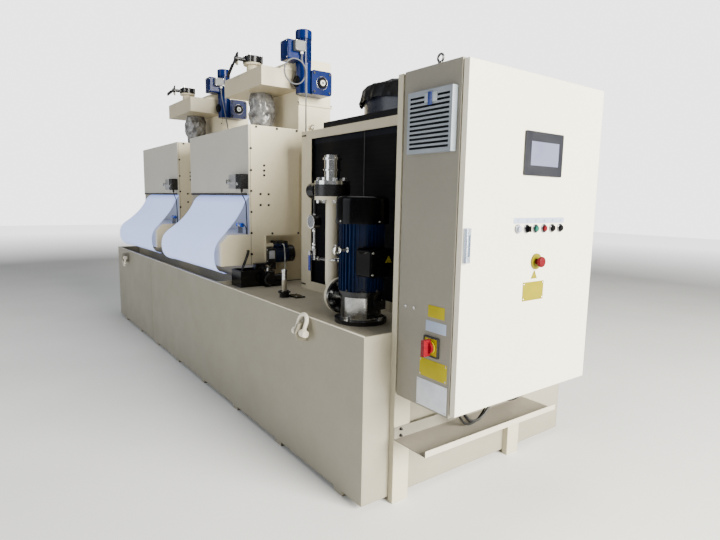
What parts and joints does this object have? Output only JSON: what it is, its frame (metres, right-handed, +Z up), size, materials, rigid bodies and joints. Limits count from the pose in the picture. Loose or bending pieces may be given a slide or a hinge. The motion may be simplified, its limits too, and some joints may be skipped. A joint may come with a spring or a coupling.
{
  "type": "gravity paper filter",
  "caption": "Long coolant tank with paper filter units, feed columns, a chiller, a vertical pump and a door-fronted control cabinet on its end.",
  "frame": {"origin": "underside of the fifth cross bearer from the cabinet end, on the tank's long centre line, at floor level", "axes": "+X along the tank towards the control cabinet, +Y from the paper side to the back, +Z up"},
  "size_m": [4.499, 1.424, 2.275],
  "materials": {
    "cream_steel": "powder coat",
    "door_cream": "textured powder coat",
    "filter_paper": "non-woven",
    "wrap_film": "crumpled film",
    "drive_blue": "gloss",
    "pump_blue": "gloss",
    "black_cast": "gloss",
    "black_plastic": "satin",
    "stainless": "polished",
    "vent_grey": "satin",
    "yellow_plastic": "gloss",
    "red_plastic": "gloss",
    "green_plastic": "gloss",
    "lever_blue": "gloss",
    "zinc": "zinc plated"
  },
  "bodies": {
    "plant": {"butterfly_valve": "black_cast", "cabinet_posts": "cream_steel", "cabinet_shell": "door_cream", "cable_tray": "cream_steel", "chiller_body": "cream_steel", "condenser_panel": "black_cast", "control_cables": "black_plastic", "deck_plate": "cream_steel", "discharge_pipe": "cream_steel", "drip_box": "black_plastic", "fan_shroud": "black_plastic", "feed_trough_left": "cream_steel", "feed_trough_right": "cream_steel", "filter_housing_left": "cream_steel", "filter_housing_right": "cream_steel", "front_cover_left": "cream_steel", "front_cover_right": "cream_steel", "gauge_line": "stainless", "gear_unit_left": "drive_blue", "gear_unit_right": "drive_blue", "hose_coupling": "stainless", "inlet_duct_left": "wrap_film", "inlet_duct_right": "wrap_film", "inlet_valves": "black_cast", "level_switch": "stainless", "lift_column_left": "cream_steel", "lift_column_right": "cream_steel", "lifting_lugs": "cream_steel", "limit_switches": "black_plastic", "main_switch_base": "yellow_plastic", "mounting_plate": "zinc", "nose_box_left": "cream_steel", "nose_box_right": "cream_steel", "paper_drives": "pump_blue", "paper_web_left": "filter_paper", "paper_web_right": "filter_paper", "pump_head": "black_cast", "pump_motor": "pump_blue", "side_vent": "vent_grey", "skid_bearers": "cream_steel", "tank_back_wall": "cream_steel", "tank_ends": "cream_steel", "tank_front_wall": "cream_steel", "trough_divider": "cream_steel"},
    "cabinet_door": {"cabinet_door": "door_cream", "door_latch": "vent_grey", "hmi_panel": "black_plastic", "control_units": "stainless"},
    "selector": {"selector_knob": "black_plastic"},
    "green_button": {"button_green": "green_plastic"},
    "red_button": {"button_red": "red_plastic"},
    "black_button_left": {"button_black_left": "black_plastic"},
    "black_button_right": {"button_black_right": "black_plastic"},
    "emergency_stop": {"stop_head": "red_plastic"},
    "main_switch": {"main_switch_handle": "red_plastic"},
    "valve_lever": {"ball_valve_lever": "lever_blue"},
    "right_shackle": {"shackle_right": "cream_steel"},
    "left_shackle": {"shackle_left": "cream_steel"},
    "inlet_lever_right": {"inlet_lever_right": "black_cast"},
    "inlet_lever_left": {"inlet_lever_left": "black_cast"}
  },
  "joints": [
    {"name": "door_hinge", "type": "hinge", "parent": "plant", "child": "cabinet_door", "pos_m": [2.5965, 0.292, 1.062], "axis": [0, 0, 1], "range_deg": [0, 120]},
    {"name": "selector_turn", "type": "hinge", "parent": "cabinet_door", "child": "selector", "pos_m": [2.621, -0.1742, 1.114], "axis": [1, 0, 0], "range_deg": [-45, 45]},
    {"name": "green_press", "type": "slide", "parent": "cabinet_door", "child": "green_button", "axis": [-1, 0, 0], "range_m": [0, 0.0035], "stiffness_N_per_m": 400},
    {"name": "red_press", "type": "slide", "parent": "cabinet_door", "child": "red_button", "axis": [-1, 0, 0], "range_m": [0, 0.0035], "stiffness_N_per_m": 400},
    {"name": "black_left_press", "type": "slide", "parent": "cabinet_door", "child": "black_button_left", "axis": [-1, 0, 0], "range_m": [0, 0.0035], "stiffness_N_per_m": 400},
    {"name": "black_right_press", "type": "slide", "parent": "cabinet_door", "child": "black_button_right", "axis": [-1, 0, 0], "range_m": [0, 0.0035], "stiffness_N_per_m": 400},
    {"name": "stop_press", "type": "slide", "parent": "cabinet_door", "child": "emergency_stop", "axis": [-1, 0, 0], "range_m": [0, 0.0035]},
    {"name": "main_switch_turn", "type": "hinge", "parent": "plant", "child": "main_switch", "pos_m": [2.505, -0.53, 0.697], "axis": [0, -1, 0], "range_deg": [0, 90]},
    {"name": "valve_lever_turn", "type": "hinge", "parent": "plant", "child": "valve_lever", "pos_m": [1.571, -0.45, 0.946], "axis": [0, 1, 0], "range_deg": [0, 90]},
    {"name": "right_shackle_swing", "type": "hinge", "parent": "plant", "child": "right_shackle", "pos_m": [1.864, -0.686, 0.635], "axis": [1, 0, 0], "range_deg": [0, 199]},
    {"name": "inlet_lever_right_turn", "type": "hinge", "parent": "plant", "child": "inlet_lever_right", "pos_m": [0.405, -0.3273, 2.1186], "axis": [0, -1, 0], "range_deg": [-36, 54]},
    {"name": "inlet_lever_left_turn", "type": "hinge", "parent": "plant", "child": "inlet_lever_left", "pos_m": [-0.935, -0.3273, 2.1186], "axis": [0, -1, 0], "range_deg": [-5, 85]},
    {"name": "left_shackle_swing", "type": "hinge", "parent": "plant", "child": "left_shackle", "pos_m": [-1.426, -0.686, 0.635], "axis": [1, 0, 0], "range_deg": [-199, 5]}
  ]
}
